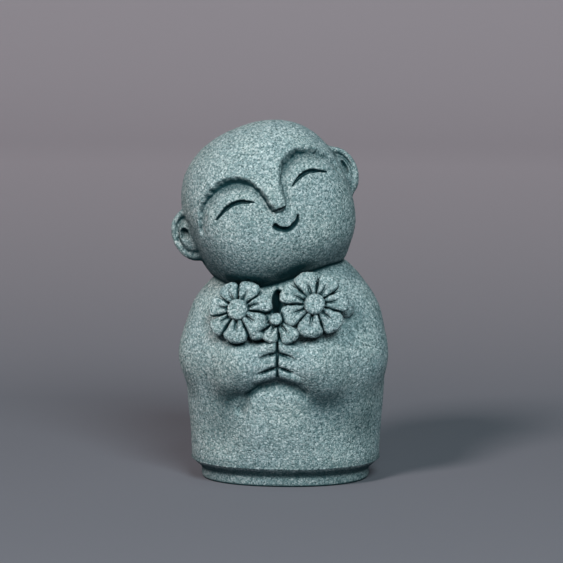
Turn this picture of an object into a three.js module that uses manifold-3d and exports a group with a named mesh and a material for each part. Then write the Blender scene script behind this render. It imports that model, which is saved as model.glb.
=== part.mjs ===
// A small stone jizo: a child monk with a tilted head, cast in one piece with the flowers it holds and a plinth.
// Millimetres, +Z up, the figure faces -Y, and the origin is the middle of the flat underside.
import * as THREE from 'three';
import { mergeVertices } from 'three/addons/utils/BufferGeometryUtils.js';
import Module from 'manifold-3d';

const wasm = await Module();
wasm.setup();

// Driving dimensions
const FIGURE_HEIGHT = 120.7;
const PLINTH_HEIGHT = 3.2;
const PLINTH_INSET = 3.4;
const PLINTH_EDGE = 0.6;
const HEM_CHAMFER = 2;

// The figure is a free form, so its sizes are shares of its height: mm is a millimetre at the modelled height.
const MODELLED_HEIGHT = 120.7;
const mm = FIGURE_HEIGHT / MODELLED_HEIGHT;
const degrees = Math.PI / 180;

// Robe
const ROBE = {
  hem: 31.4 * mm,
  shoulder: 33.3 * mm,
  shoulderHeight: 40 * mm,
  top: 80 * mm,
  hemRound: 1.2 * mm,
  depthShare: 0.84,
  squareness: 2.2,
};
const HEM_HEIGHT = PLINTH_HEIGHT + HEM_CHAMFER;

// Arms: the joints of the right arm, seen on the side of -X, are mirrored for the left one
const ARM = {
  shoulder: { at: [20, -3, 52.5], radius: 9.5 },
  elbow: { at: [23.2, -8, 40.5], radius: 9.6 },
  wrist: { at: [10, -23.5, 42], radius: 8 },
  hand: { at: [4.5, -25.4, 43.6], radius: 5 },
  cuff: { at: [12, -22.5, 36], size: [7, 6.6, 6.6] },
  blend: 6,
};

// Hands: each is a rounded mass. The slits are cut into the front from one place to another, given as [x, z].
const HAND = { at: [4.2, -26.6, 43.9], size: [5.6, 5.6, 6.6] };
const FINGER_SLIT = { width: 0.8, depth: 1.4 };
const SLITS = {
  betweenHands: { from: [0, 50.4], to: [0, 37.6], width: 0.5, depth: 2 },
  rightUpper: { from: [-0.6, 46.3], to: [-6.4, 44], ...FINGER_SLIT },
  rightLower: { from: [-0.2, 41.5], to: [-6.4, 38.8], ...FINGER_SLIT },
  leftUpper: { from: [0.6, 46], to: [5.8, 44.1], ...FINGER_SLIT },
  leftLower: { from: [0.4, 41.6], to: [5, 39.4], ...FINGER_SLIT },
  sleeveFold: { from: [-8, 35.6], to: [-11.6, 29.4], width: 0.9, depth: 1.3 },
};

// Head
const HEAD = {
  centre: new THREE.Vector3(-6.4, -2, 92.1).multiplyScalar(mm),
  halfWidth: 27.3 * mm,
  halfDepth: 26.6 * mm,
  halfHeight: 27.7 * mm,
  chinDrop: 28.3 * mm,
  squareness: [2.75, 2.3],
  pitch: -4.5 * degrees,
  tilt: -22.5 * degrees,
  turn: 5 * degrees,
  face: 10.5 * degrees,
};
const EAR = {
  height: 8.9 * mm,
  width: 6.9 * mm,
  thickness: 2.7 * mm,
  groove: 1.1 * mm,
  hollow: 2 * mm,
  sunk: 0.6 * mm,
  back: 1 * mm,
  flare: 24 * degrees,
};

// Face: places are longitude and latitude on the head, in degrees
const BROW = [[66, 9.5], [55, 20.5], [44, 27], [32, 29.2], [21, 27], [13, 20], [8.8, 11], [5.6, -4.5]];
const BROW_CUT = { depth: 1.3 * mm, lid: 4.6 * mm, lidBesideNose: 2.6 * mm, wall: 0.5 * mm, fade: 0.3 * mm };
const EYE = { ends: [15, 46], height: 11.6, sag: 6, width: 0.62 * mm, depth: 1 * mm };
const MOUTH = { middle: 1.2, halfWidth: 10, height: -14, sag: 7, width: 0.72 * mm, depth: 1.2 * mm };
const NOSE = { halfWidth: 2.5 * mm, rise: 1.9 * mm, bridge: 20, tip: -6 };

// Flowers: where the middle is as [x, z], how proud of the chest it stands, which way it faces, how far its
// petals reach, the radius of its boss, and the petals' number, spacing and first turn in degrees
const SEVENTH = 360 / 7;
const FLOWERS = [
  {
    at: [-13.3, 59.8],
    proud: 5.8,
    faces: [-0.22, -0.91, 0.34],
    reach: 10.8,
    boss: 3.7,
    petals: { count: 7, pitch: SEVENTH, first: 70 },
  },
  {
    at: [12, 62],
    proud: 6.6,
    faces: [0.12, -0.95, 0.3],
    reach: 11.2,
    boss: 3.6,
    petals: { count: 7, pitch: SEVENTH, first: 108 },
  },
  {
    at: [-0.9, 57.4],
    proud: 4.8,
    faces: [0, -0.95, 0.3],
    reach: 8.8,
    boss: 2.5,
    petals: { count: 2, pitch: 60, first: -105 },
  },
];
const PETAL = { thickness: 1.9, droop: 0.12, groove: 1.4, neck: 0.62, tip: 1.08, fill: 0.82 };
const BOSS_THICKNESS = 2.3;
const STALK = { share: 0.62, thickness: 5, setBack: 5.6 };
const LEAVES = [
  { at: [-6.9, 51.8], proud: 3.4, size: [2.6, 2.2, 1.8] },
  { at: [21.4, 59.6], proud: 1.6, size: [2.8, 2, 3.4] },
];

// How finely each form is divided, as [sides, rings]
const GRID = {
  body: [40, 22],
  plinth: 40,
  head: [38, 24],
  ear: [16, 10],
  hand: [14, 10],
  petal: [8, 6],
  boss: [10, 6],
  stalk: [8, 6],
  socket: [6, 14],
  faceLine: [6, 8],
  frontSlit: [4, 6],
};

// Geometry helpers

function toSolid(geometry) {
  const bare = new THREE.BufferGeometry();
  bare.setAttribute('position', geometry.getAttribute('position'));
  if (geometry.index) bare.setIndex(geometry.index);
  const merged = mergeVertices(bare, 1e-4);
  const mesh = new wasm.Mesh({
    numProp: 3,
    vertProperties: new Float32Array(merged.attributes.position.array),
    triVerts: new Uint32Array(merged.index.array),
  });
  return new wasm.Manifold(mesh);
}

function toGeometry(solid) {
  const mesh = solid.getMesh();
  const geometry = new THREE.BufferGeometry();
  geometry.setAttribute('position', new THREE.BufferAttribute(new Float32Array(mesh.vertProperties), 3));
  geometry.setIndex(new THREE.BufferAttribute(new Uint32Array(mesh.triVerts), 1));
  geometry.computeVertexNormals();
  return geometry;
}

// A unit sphere drawn out into a form: place() gives the point for each vertex
function drawn([sides, rings], place) {
  const geometry = new THREE.SphereGeometry(1, sides, rings);
  const position = geometry.getAttribute('position');
  const vertex = new THREE.Vector3();
  for (let i = 0; i < position.count; i++) {
    vertex.fromBufferAttribute(position, i);
    const placed = place(vertex.clone());
    position.setXYZ(i, placed.x, placed.y, placed.z);
  }
  return geometry;
}

const { clamp, lerp, smoothstep } = THREE.MathUtils;
const forwards = new THREE.Vector3(0, -1, 0);
const outsideBody = 1.3 * ROBE.shoulder;
const scaled = (values) => new THREE.Vector3(...values).multiplyScalar(mm);

function smoothMin(a, b, reach) {
  const share = Math.max(reach - Math.abs(a - b), 0) / reach;
  return Math.min(a, b) - (share * share * reach) / 4;
}

// Distance to a bar whose radius runs evenly from one end to the other
function bar(point, from, to) {
  const along = to.at.clone().sub(from.at);
  const t = clamp(point.clone().sub(from.at).dot(along) / along.lengthSq(), 0, 1);
  return point.distanceTo(from.at.clone().addScaledVector(along, t)) - lerp(from.radius, to.radius, t);
}

function ellipsoid(point, centre, size) {
  const q = point.clone().sub(centre);
  const near = q.clone().divide(size).length();
  const far = q.clone().divide(size).divide(size).length();
  return far > 0 ? (near * (near - 1)) / far : -Math.min(size.x, size.y, size.z);
}

// Body: the robe is a column with an elliptical shoulder dome, and the arms swell out of it

function robeHalfWidth(z) {
  const round = Math.max(ROBE.hemRound - (z - HEM_HEIGHT), 0);
  const edge = ROBE.hemRound - Math.sqrt(Math.max(ROBE.hemRound ** 2 - round ** 2, 0));
  if (z < ROBE.shoulderHeight) {
    return lerp(ROBE.hem, ROBE.shoulder, smoothstep(z, HEM_HEIGHT, ROBE.shoulderHeight)) - edge;
  }
  const rise = (z - ROBE.shoulderHeight) / (ROBE.top - ROBE.shoulderHeight);
  return ROBE.shoulder * Math.sqrt(Math.max(1 - rise * rise, 0));
}

function ovalReach(x, y, squareness, depthShare) {
  return (Math.abs(x) ** squareness + Math.abs(y / depthShare) ** squareness) ** (1 / squareness);
}

const sidePoint = ([x, y, z], side) => scaled([x * side, y, z]);
const joint = (part, side) => ({ at: sidePoint(part.at, side), radius: part.radius * mm });

const arms = [-1, 1].map((side) => ({
  shoulder: joint(ARM.shoulder, side),
  elbow: joint(ARM.elbow, side),
  wrist: joint(ARM.wrist, side),
  hand: joint(ARM.hand, side),
  cuff: sidePoint(ARM.cuff.at, side),
  cuffSize: scaled(ARM.cuff.size),
}));

function armField(point, arm) {
  const upper = bar(point, arm.shoulder, arm.elbow);
  const fore = bar(point, arm.elbow, arm.wrist);
  const hand = bar(point, arm.wrist, arm.hand);
  const cuff = ellipsoid(point, arm.cuff, arm.cuffSize);
  return smoothMin(smoothMin(upper, fore, 4 * mm), smoothMin(hand, cuff, 3 * mm), 3 * mm);
}

function bodyField(point) {
  const robe = ovalReach(point.x, point.y, ROBE.squareness, ROBE.depthShare) - robeHalfWidth(point.z);
  const limbs = Math.min(...arms.map((arm) => armField(point, arm)));
  return smoothMin(robe, limbs, ARM.blend * mm);
}

// Where a ray that comes in from outside first meets the field's surface, as a distance from the ray's origin
function meets(field, origin, direction) {
  const step = 0.5 * mm;
  const probe = (t) => field(origin.clone().addScaledVector(direction, t));
  let outside = outsideBody;
  while (outside > 0 && probe(outside - step) > 0) outside -= step;
  let inside = outside - step;
  for (let i = 0; i < 24; i++) {
    const middle = (inside + outside) / 2;
    if (probe(middle) > 0) outside = middle;
    else inside = middle;
  }
  return Math.max((inside + outside) / 2, 0);
}

// Body rows crowd together at the hem and the hands, and columns crowd together at the front
function makeBody() {
  const [columns, rows] = GRID.body;
  const top = ROBE.top - 3 * mm;
  const profile = [new THREE.Vector2(0, HEM_HEIGHT)];
  for (let i = 0; i <= rows; i++) {
    const share = i / rows;
    const crowded = share - 0.07 * Math.sin(2 * Math.PI * share);
    profile.push(new THREE.Vector2(1, lerp(HEM_HEIGHT, top, crowded)));
  }
  profile.push(new THREE.Vector2(0, top));
  const geometry = new THREE.LatheGeometry(profile, columns);
  const position = geometry.getAttribute('position');
  for (let i = 0; i < position.count; i++) {
    const share = Math.atan2(position.getX(i), position.getZ(i)) / Math.PI;
    const height = position.getY(i);
    const onAxis = Math.hypot(position.getX(i), position.getZ(i)) < 0.5;
    const turn = Math.PI * share * (0.55 + 0.45 * share * share);
    const ray = new THREE.Vector3(Math.sin(turn), -Math.cos(turn), 0);
    const reach = onAxis ? 0 : meets(bodyField, new THREE.Vector3(0, 0, height), ray);
    position.setXYZ(i, ray.x * reach, ray.y * reach, height);
  }
  return toSolid(geometry);
}

// Plinth: an oval slab with a worn lower edge, and the robe's chamfered underside above it
function makePlinth() {
  const foot = ROBE.hem - PLINTH_INSET;
  const lap = 0.5 * mm;
  const hemEdge = ROBE.hem - ROBE.hemRound - lap;
  const profile = [
    [0, 0],
    [foot - PLINTH_EDGE, 0],
    [foot, PLINTH_EDGE],
    [foot, PLINTH_HEIGHT],
    [hemEdge, HEM_HEIGHT + lap],
    [0, HEM_HEIGHT + lap],
  ].map(([r, z]) => new THREE.Vector2(r, z));
  const geometry = new THREE.LatheGeometry(profile, GRID.plinth);
  const position = geometry.getAttribute('position');
  for (let i = 0; i < position.count; i++) {
    const radius = Math.hypot(position.getX(i), position.getZ(i));
    const turn = Math.atan2(position.getX(i), position.getZ(i));
    const x = Math.sin(turn);
    const y = -Math.cos(turn);
    const reach = radius / ovalReach(x, y, ROBE.squareness, ROBE.depthShare);
    position.setXYZ(i, x * reach, y * reach, position.getY(i));
  }
  return toSolid(geometry);
}

// Head: a rounded box of a sphere, fuller below, with the brow and nose carved in relief

const headTurn = new THREE.Matrix4()
  .makeRotationZ(HEAD.turn)
  .multiply(new THREE.Matrix4().makeRotationY(HEAD.tilt))
  .multiply(new THREE.Matrix4().makeRotationZ(HEAD.face))
  .multiply(new THREE.Matrix4().makeRotationX(HEAD.pitch));
const headPose = new THREE.Matrix4().makeTranslation(HEAD.centre).multiply(headTurn);

const faceRay = (longitude, latitude) =>
  new THREE.Vector3(
    Math.sin(longitude * degrees) * Math.cos(latitude * degrees),
    -Math.cos(longitude * degrees) * Math.cos(latitude * degrees),
    Math.sin(latitude * degrees),
  );

function headReach(ray) {
  const power = lerp(...HEAD.squareness, smoothstep(ray.z, -0.3, 0.4));
  const halfHeight = ray.z < 0 ? HEAD.chinDrop : HEAD.halfHeight;
  const sum =
    Math.abs(ray.x / HEAD.halfWidth) ** power +
    Math.abs(ray.y / HEAD.halfDepth) ** power +
    Math.abs(ray.z / halfHeight) ** power;
  return sum ** (-1 / power);
}

function makeHead() {
  const geometry = drawn(GRID.head, (unit) => {
    const share = Math.atan2(unit.x, unit.z) / Math.PI;
    const rise = Math.asin(clamp(unit.y, -1, 1)) / (Math.PI / 2);
    const ray = faceRay(180 * share * (0.6 + 0.4 * share * share), 90 * rise);
    return ray.multiplyScalar(headReach(ray));
  });
  return toSolid(geometry.applyMatrix4(headPose));
}

// A spindle along a line on the head, whose section can differ on its two sides
function makeSpindle(line, grid, section) {
  const geometry = drawn(grid, (unit) => {
    const share = (1 + unit.y) / 2;
    const spot = line(share);
    const next = line(share + 0.01);
    const ray = faceRay(...spot);
    const along = faceRay(...next).sub(ray).normalize();
    const across = new THREE.Vector3().crossVectors(ray, along).normalize();
    const offset = section(unit, share);
    return ray
      .clone()
      .multiplyScalar(headReach(ray) + offset.y)
      .addScaledVector(across, offset.x);
  });
  return toSolid(geometry.applyMatrix4(headPose));
}

// The eye socket is cut along the brow: a steep wall on the forehead's side and a long slope down to the eyelid
function makeSocket(side) {
  const curve = new THREE.SplineCurve(BROW.map((place) => new THREE.Vector2(...place)));
  const line = (share) => {
    const spot = curve.getPoint(Math.min(share, 1));
    return [side * spot.x, spot.y];
  };
  return makeSpindle(line, GRID.socket, (unit, share) => {
    const lid = lerp(BROW_CUT.lid, BROW_CUT.lidBesideNose, smoothstep(share, 0.45, 0.8));
    const width = side * unit.x > 0 ? lid : BROW_CUT.wall;
    return new THREE.Vector2(-unit.x * width, unit.z * BROW_CUT.depth + Math.abs(unit.x) * BROW_CUT.fade);
  });
}

const slit = (cut) => (unit) => new THREE.Vector2(-unit.x * cut.width, unit.z * cut.depth);

// The nose is a low ridge that runs down from between the brows and stops short
function makeNose() {
  const line = (share) => [0, lerp(NOSE.tip, NOSE.bridge, share)];
  return makeSpindle(line, GRID.faceLine, (unit, share) => {
    const lift = NOSE.rise * (1 - 0.85 * share);
    return new THREE.Vector2(-unit.x * NOSE.halfWidth, unit.z * lift);
  });
}

function makeEye(side) {
  const line = (share) => {
    const bow = 2 * share - 1;
    return [side * lerp(...EYE.ends, share), EYE.height - EYE.sag * bow * bow];
  };
  return makeSpindle(line, GRID.faceLine, slit(EYE));
}

function makeMouth() {
  const line = (share) => {
    const bow = 2 * share - 1;
    return [MOUTH.middle + bow * MOUTH.halfWidth, MOUTH.height - MOUTH.sag * (1 - bow * bow)];
  };
  return makeSpindle(line, GRID.faceLine, slit(MOUTH));
}

// Ear: a thick dish that faces forwards, with a groove inside its rim that fades downwards, and a hollow
function makeEar(side) {
  const facing = new THREE.Vector3(side * Math.sin(EAR.flare), -Math.cos(EAR.flare), 0);
  const out = new THREE.Vector3(side * Math.cos(EAR.flare), Math.sin(EAR.flare), 0);
  const up = new THREE.Vector3(0, 0, 1);
  const root = new THREE.Vector3(side * (HEAD.halfWidth - EAR.sunk), EAR.back, 0);
  const geometry = drawn(GRID.ear, (unit) => {
    const fromMiddle = Math.hypot(unit.x, unit.z);
    const highness = fromMiddle > 0 ? (1 + unit.z / fromMiddle) / 2 : 0;
    const inGroove = smoothstep(fromMiddle, 0.5, 0.66) * (1 - smoothstep(fromMiddle, 0.7, 0.86));
    const inHollow = 1 - smoothstep(fromMiddle, 0.18, 0.42);
    const carved = inGroove * lerp(0.4, 1, highness) * EAR.groove + inHollow * EAR.hollow;
    return root
      .clone()
      .addScaledVector(out, -side * unit.x * EAR.width)
      .addScaledVector(up, unit.z * EAR.height)
      .addScaledVector(facing, unit.y * EAR.thickness - (unit.y > 0 ? carved : 0));
  });
  return toSolid(geometry.applyMatrix4(headPose));
}

// Hands: two rounded masses that meet on the middle line

const hands = [-1, 1].map((side) => ({
  centre: sidePoint(HAND.at, side),
  size: scaled(HAND.size),
}));

function makeHand(hand) {
  return toSolid(drawn(GRID.hand, (unit) => hand.centre.clone().add(unit.multiply(hand.size))));
}

const handField = (point) => Math.min(...hands.map((hand) => ellipsoid(point, hand.centre, hand.size)));
const skinField = (point) => Math.min(bodyField(point), handField(point));

// A spindle that lies in the front surface
function makeFrontSlit({ from, to, width, depth }) {
  const start = scaled([from[0], 0, from[1]]);
  const end = scaled([to[0], 0, to[1]]);
  const side = new THREE.Vector3().crossVectors(end.clone().sub(start), forwards).normalize();
  const geometry = drawn(GRID.frontSlit, (unit) => {
    const spot = start.clone().lerp(end, (1 + unit.y) / 2);
    const reach = meets(skinField, spot, forwards);
    return spot
      .addScaledVector(forwards, reach + unit.z * depth * mm)
      .addScaledVector(side, unit.x * width * mm);
  });
  return toSolid(geometry);
}

// Flowers

// A place in front of the chest, so far proud of the robe
function beforeChest([x, z], proud) {
  const onAxis = scaled([x, 0, z]);
  return onAxis.clone().addScaledVector(forwards, meets(bodyField, onAxis, forwards) + proud * mm);
}

function flowerPlane(flower) {
  const facing = new THREE.Vector3(...flower.faces).normalize();
  const right = new THREE.Vector3(-facing.y, facing.x, 0).normalize();
  const up = new THREE.Vector3().crossVectors(facing, right);
  return { middle: beforeChest(flower.at, flower.proud), facing, right, up };
}

// A petal is a blunt pear with a groove down its middle
function makePetal(flower, plane, index) {
  const { first, pitch } = flower.petals;
  const turn = (first + pitch * index) * degrees;
  const out = plane.right.clone().multiplyScalar(Math.cos(turn)).addScaledVector(plane.up, Math.sin(turn));
  const across = new THREE.Vector3().crossVectors(out, plane.facing);
  const inner = 0.7 * flower.boss * mm;
  const outer = flower.reach * mm;
  const halfWidth = outer * Math.sin((pitch / 2) * degrees) * PETAL.fill;
  const geometry = drawn(GRID.petal, (unit) => {
    const share = (1 + unit.y) / 2;
    const reach = lerp(inner, outer, share);
    const blunt = Math.sqrt(1 + unit.y * unit.y);
    const width = halfWidth * lerp(PETAL.neck, PETAL.tip, share) * blunt;
    const onSpine = unit.z > 0 && Math.abs(unit.x) < 1e-6;
    const crease = onSpine ? PETAL.groove * Math.sin(Math.PI * share) : 0;
    return plane.middle
      .clone()
      .addScaledVector(out, reach)
      .addScaledVector(across, unit.x * width)
      .addScaledVector(plane.facing, (unit.z * PETAL.thickness - crease) * mm - PETAL.droop * reach);
  });
  return toSolid(geometry);
}

// An oval boss that lies in the flower's plane
function makeBoss(plane, grid, { radius, thickness, setBack }) {
  const geometry = drawn(grid, (unit) =>
    plane.middle
      .clone()
      .addScaledVector(plane.right, unit.x * radius * mm)
      .addScaledVector(plane.up, -unit.z * radius * mm)
      .addScaledVector(plane.facing, (unit.y * thickness - setBack) * mm),
  );
  return toSolid(geometry);
}

function makeFlower(flower) {
  const plane = flowerPlane(flower);
  const boss = makeBoss(plane, GRID.boss, { radius: flower.boss, thickness: BOSS_THICKNESS, setBack: 0 });
  const stalk = makeBoss(plane, GRID.stalk, { ...STALK, radius: STALK.share * flower.reach });
  const petals = [];
  for (let i = 0; i < flower.petals.count; i++) petals.push(makePetal(flower, plane, i));
  return [boss, stalk, ...petals];
}

function makeLeaf(leaf) {
  const centre = beforeChest(leaf.at, leaf.proud);
  return toSolid(drawn(GRID.petal, (unit) => centre.clone().add(unit.multiply(scaled(leaf.size)))));
}

// Assembly: everything is one casting
const faceCuts = [makeSocket(-1), makeSocket(1), makeEye(-1), makeEye(1), makeMouth()];
const carve = (whole, cut) => whole.subtract(cut);
const join = (whole, piece) => whole.add(piece);

const head = faceCuts.reduce(carve, makeHead()).add(makeNose());
const slits = Object.values(SLITS).map(makeFrontSlit);
const body = slits.reduce(carve, hands.map(makeHand).reduce(join, makeBody()));
const ears = [makeEar(-1), makeEar(1)];
const bouquet = [...FLOWERS.flatMap(makeFlower), ...LEAVES.map(makeLeaf)];
const statue = [makePlinth(), head, ...ears, ...bouquet].reduce(join, body);

const stone = new THREE.MeshStandardMaterial({ color: 0x8ea3a3, roughness: 0.95, metalness: 0 });
const mesh = new THREE.Mesh(toGeometry(statue), stone);
mesh.name = 'statue';

const group = new THREE.Group();
group.add(mesh);

export default group;
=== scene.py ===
"""The visual model of a small cast-stone jizo figure, with its stone, floor, lights and camera.

The figure is one signed distance field, in millimetres on a figure of MODELLED_HEIGHT. It is drawn as three
fine meshes: the body, the head and the flowers.
"""
import math

import bpy
import numpy as np
from mathutils import Matrix, Vector, noise


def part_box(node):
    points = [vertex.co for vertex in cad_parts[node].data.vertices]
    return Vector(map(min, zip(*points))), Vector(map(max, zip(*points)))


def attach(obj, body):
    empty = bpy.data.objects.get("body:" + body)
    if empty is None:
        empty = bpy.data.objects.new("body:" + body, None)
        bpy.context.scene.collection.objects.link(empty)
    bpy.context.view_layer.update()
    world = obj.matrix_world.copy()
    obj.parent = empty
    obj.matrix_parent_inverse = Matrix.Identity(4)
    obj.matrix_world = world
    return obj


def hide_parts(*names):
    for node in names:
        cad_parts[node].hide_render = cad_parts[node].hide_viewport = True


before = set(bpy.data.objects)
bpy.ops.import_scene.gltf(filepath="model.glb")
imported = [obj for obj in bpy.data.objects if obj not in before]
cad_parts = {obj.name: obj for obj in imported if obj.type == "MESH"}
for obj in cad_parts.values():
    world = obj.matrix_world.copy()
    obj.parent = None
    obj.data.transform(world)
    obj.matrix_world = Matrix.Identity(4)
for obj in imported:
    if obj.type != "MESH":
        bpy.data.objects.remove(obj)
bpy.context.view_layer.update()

# Scale: the field's millimetres fit the CAD node, whatever its size
MODELLED_HEIGHT = 120.67
cad_low, cad_high = (np.array(corner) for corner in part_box("statue"))
METRES = (cad_high[2] - cad_low[2]) / MODELLED_HEIGHT

# Mesh: the grid step of each part, how many steps make one of the search grid, the most triangles of a part,
# how much finely carved places are thinned, and how far a part runs on inside the one it grows out of
STEPS = dict(body=0.38, head=0.32, flowers=0.21)
SEARCH_STEPS = 4
MOST_TRIANGLES = 195_000
FINE_THINNING = 0.2
LAP = 1.6

# Robe and plinth
ROBE = dict(hem=31.4, shoulder=33.3, shoulder_height=40.0, top=80.0, depth=0.84, power=2.2, lean=0.8)
PLINTH = dict(top=3.5, half_width=28.0, edge=0.9, lip=0.3)
HEM_HEIGHT = 6.2
HEM_ROUND = 0.8
# Where the robe counts as its front: how far forward, how far above the hem, and how near the hands
FRONT = dict(forward=(3, 12), above_hem=(7, 16), hands=(42, 48))

# Arms and hands, given for the side of +X and mirrored for the other
ARM = dict(
    shoulder=((20.8, -3.0, 53.5), 9.5),
    elbow=((23.4, -10.0, 43.0), 9.7),
    wrist=((10.5, -24.0, 42.2), 7.6),
    hand=((4.5, -25.4, 43.6), 5.0),
    cuff=((12.8, -23.3, 37.4), (7.2, 6.6, 6.4)),
)
# How softly the arms' parts run into each other, and the arms into the robe in front and at the sides
ARM_BLENDS = dict(elbow=4, cuff=3, wrist=3, front=1.0, side=7.0)
# How far out on each side the softer blend sets in
SOFT_FROM = {-1: (11, 19), 1: (6, 14)}
PALM = dict(centre=(4.6, -26.4, 43.8), size=(5.4, 4.7, 6.0))
# The fingers on each side: the height, radius and slope of each, and the rest alike for all
FINGERS = dict(
    tips=((48.6, 2.5, 0.42), (43.5, 2.55, 0.42), (39.8, 2.0, 0.3)),
    y=-29.7,
    length=7.0,
    back=0.16,
    seam=0.28,
    blend=0.8,
)
# The part of the chest that holds the hands, their lines and the gap between the flowers
CARVED = dict(forward=14, half_width=15, low=28, high=72)

# Lines cut into the front: from and to as (x, z), half width and depth
FRONT_LINES = dict(
    right_upper=((-1.2, 46.0), (-6.6, 43.9), 0.5, 0.9),
    right_lower=((-0.4, 41.3), (-6.6, 38.7), 0.5, 0.9),
    left_upper=((0.9, 45.8), (6.0, 44.0), 0.45, 0.8),
    left_lower=((0.7, 41.3), (4.9, 39.4), 0.45, 0.8),
)
# Valleys drawn on the front as (x, z), each falling away fast above its line and over its tail below it: the
# creases under the hands, and the broad hollows under the sleeves, which are also given painted shade
CREASES = [
    dict(
        line=((-0.5, 36.0), (-6.8, 34.2), (-10.4, 31.4), (-12.6, 26.5)),
        half_width=1.8, tail=2.2, depth=2.5,
    ),
    dict(line=((0.5, 36.0), (4.5, 34.8), (8.5, 32.6)), half_width=2.0, tail=2.6, depth=2.3),
]
HOLLOWS = [
    dict(line=((-15.0, 30.0), (-17.5, 26.0), (-19.5, 21.5)), half_width=6.2, tail=8.5, depth=0.6),
    dict(line=((12.0, 30.0), (20.0, 25.0), (26.0, 21.0)), half_width=7.0, tail=8.5, depth=0.6),
]
# The belly, which swells between the hollows: how far out, where it starts to fall off, its middle, the
# height from which it widens downwards, and the height at which it is full
BELLY = dict(swell=1.8, half_width=7.5, edge=5.0, spread=0.45, middle=-0.6, top=34.0, full=22)
# How dark the painted shade is, standing in for shadow: in each kind of recess, on the undersides
# of the body and the head, and by the ground
SHADE_DARKNESS = dict(
    hollows=0.4, creases=0.45, gap=0.95, sockets=0.72, cuts=0.7,
    undersides=0.16, chin=0.7, ground=0.34,
)
# How far off the surface a place is tested for stone in front of it, for the painted shade of recesses
SHADE_REACHES = (0.8, 1.6, 3.2)
# The painted shade under the chin grows weaker towards the right: the share that is left, and where it fades
CHIN_FADE = dict(share=0.55, across=(2, 18))
# How fast the painted shade fades up the sides of the sockets, and how much stronger it is under the hem
SOCKET_FADE = 1.6
HEM_SHADE = 1.8
# The gap in the chest between the flowers
CHEST_GAP = dict(at=(-0.6, 61.6), size=(1.8, 6.0, 4.5))

# Head
HEAD = dict(
    centre=(-6.4, -2.0, 92.1),
    half_width=27.3,
    half_depth=26.6,
    crown=26.85,
    chin=28.3,
    lower_power=2.75,
    upper_power=2.32,
)
HEAD_TURNS = (("Z", 5.0), ("Y", -22.5), ("Z", 10.5), ("X", -4.5))
JAW = ((12.5, -3.0, 77.5), (8.0, 9.0, 7.0))
# The ears' shape and groove, and how dark the shade painted into the groove is
EAR = dict(
    height=8.9, width=6.9, thickness=3.1, blend=1.8, pit_edge=0.4,
    groove=2.1, groove_at=0.67, groove_width=0.12, painted_shade=0.32,
)
EARS = {
    -1: dict(root=26.7, back=1.0, flare=24.0, pit=(1.3, 2.6, 1.4), pit_size=(1.8, 2.6, 2.0)),
    1: dict(root=25.6, back=-4.0, flare=6.0, pit=(2.4, 2.6, 0.9), pit_size=(1.3, 2.6, 2.6)),
}

# Face: places are (longitude, latitude) on the head in degrees
BROW = [
    (63, 4), (56.5, 16), (48, 22.8), (40, 26.8), (32, 28.8), (25, 28.4), (18, 26),
    (12.5, 22.3), (9, 17.5), (7, 12), (5.7, 6), (4.8, 0), (4.1, -5.4),
]
BROW_STOPS = [0, 0.15, 0.35, 0.55, 0.75, 1]
BROW_WIDTHS = [0.8, 1.3, 1.8, 1.8, 1.4, 1.3]
BROW_DEPTHS = [1.0, 2.0, 2.6, 2.5, 1.7, 1.0]
LID_SLOPES = [4.0, 6.0, 6.8, 6.2, 3.8, 2.6]
EYE = [(15.6, 5.7), (20, 8.1), (24, 9.4), (28.5, 9.8), (33, 9.1), (37.5, 7.4), (43.8, 4.3)]
MOUTH = [
    (-8.2, -15.3), (-6.8, -17.6), (-4.6, -19.7), (-1.4, -21.2),
    (1.8, -21.3), (5.5, -19.9), (8.4, -17.7), (10.1, -15.3),
]
RAGGED = dict(reach=0.5, brow=0.13, cut=0.04)
NOSE = dict(bridge=22.0, tip=-5.0, rise=2.0)
NOSE_FOOT = [(-4.2, -6.0), (0.0, -6.9), (4.2, -6.0)]
# Cuts: half width, depth, and the share of the width that is left at each end
CUTS = dict(
    mouth=(0.98, 2.1, (1.0, 0.45)),
    eye=(0.78, 1.7, (0.35, 0.4)),
    nose=(0.75, 0.8, (0.6, 0.6)),
)

# Flowers: middle as (x, z), how proud of the chest, the way each faces, the boss's radius, the angles of the
# gaps between the petals, and the reach of the petal that follows each gap
FLOWERS = [
    dict(
        at=(-13.3, 59.8), proud=5.8, faces=(-0.22, -0.91, 0.34), boss=3.5,
        gaps=[96, 40, -2, -62, -120, -161, -211], reaches=[10.4, 11.7, 10.7, 11.0, 11.3, 10.6, 10.2],
    ),
    dict(
        at=(12.0, 62.0), proud=6.6, faces=(0.12, -0.95, 0.3), boss=3.4,
        gaps=[135, 81, 32, -16, -71, -132, -181], reaches=[11.4, 11.1, 11.6, 11.1, 11.0, 11.3, 11.8],
    ),
    dict(
        at=(-0.4, 57.0), proud=4.4, faces=(0.0, -0.95, 0.3), boss=1.9,
        gaps=[-20, -80, -136, -182], reaches=[9.3, 8.0, 5.4, 0.0],
    ),
]
PETAL = dict(gap=0.16, tip=0.42, round=2.2, half_thickness=1.5, edge=1.35, droop=0.12, groove=1.5)
STALK = dict(back=-4.4, radius=8.4, thickness=3.5)
LEAVES = [((-6.9, 51.8), 3.2, (2.6, 2.2, 1.8)), ((21.4, 59.6), 0.7, (3.0, 2.4, 3.5))]


# Field helpers

def smoothstep(value, start, end):
    t = np.clip((value - start) / (end - start), 0, 1)
    return t * t * (3 - 2 * t)


def lerp(a, b, share):
    return a + (b - a) * share


def smooth_min(a, b, reach):
    share = np.maximum(reach - np.abs(a - b), 0) / reach
    return np.minimum(a, b) - share * share * reach / 4


def smooth_max(a, b, reach):
    return -smooth_min(-a, -b, reach)


def length(*parts):
    return np.sqrt(sum(part * part for part in parts))


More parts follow.
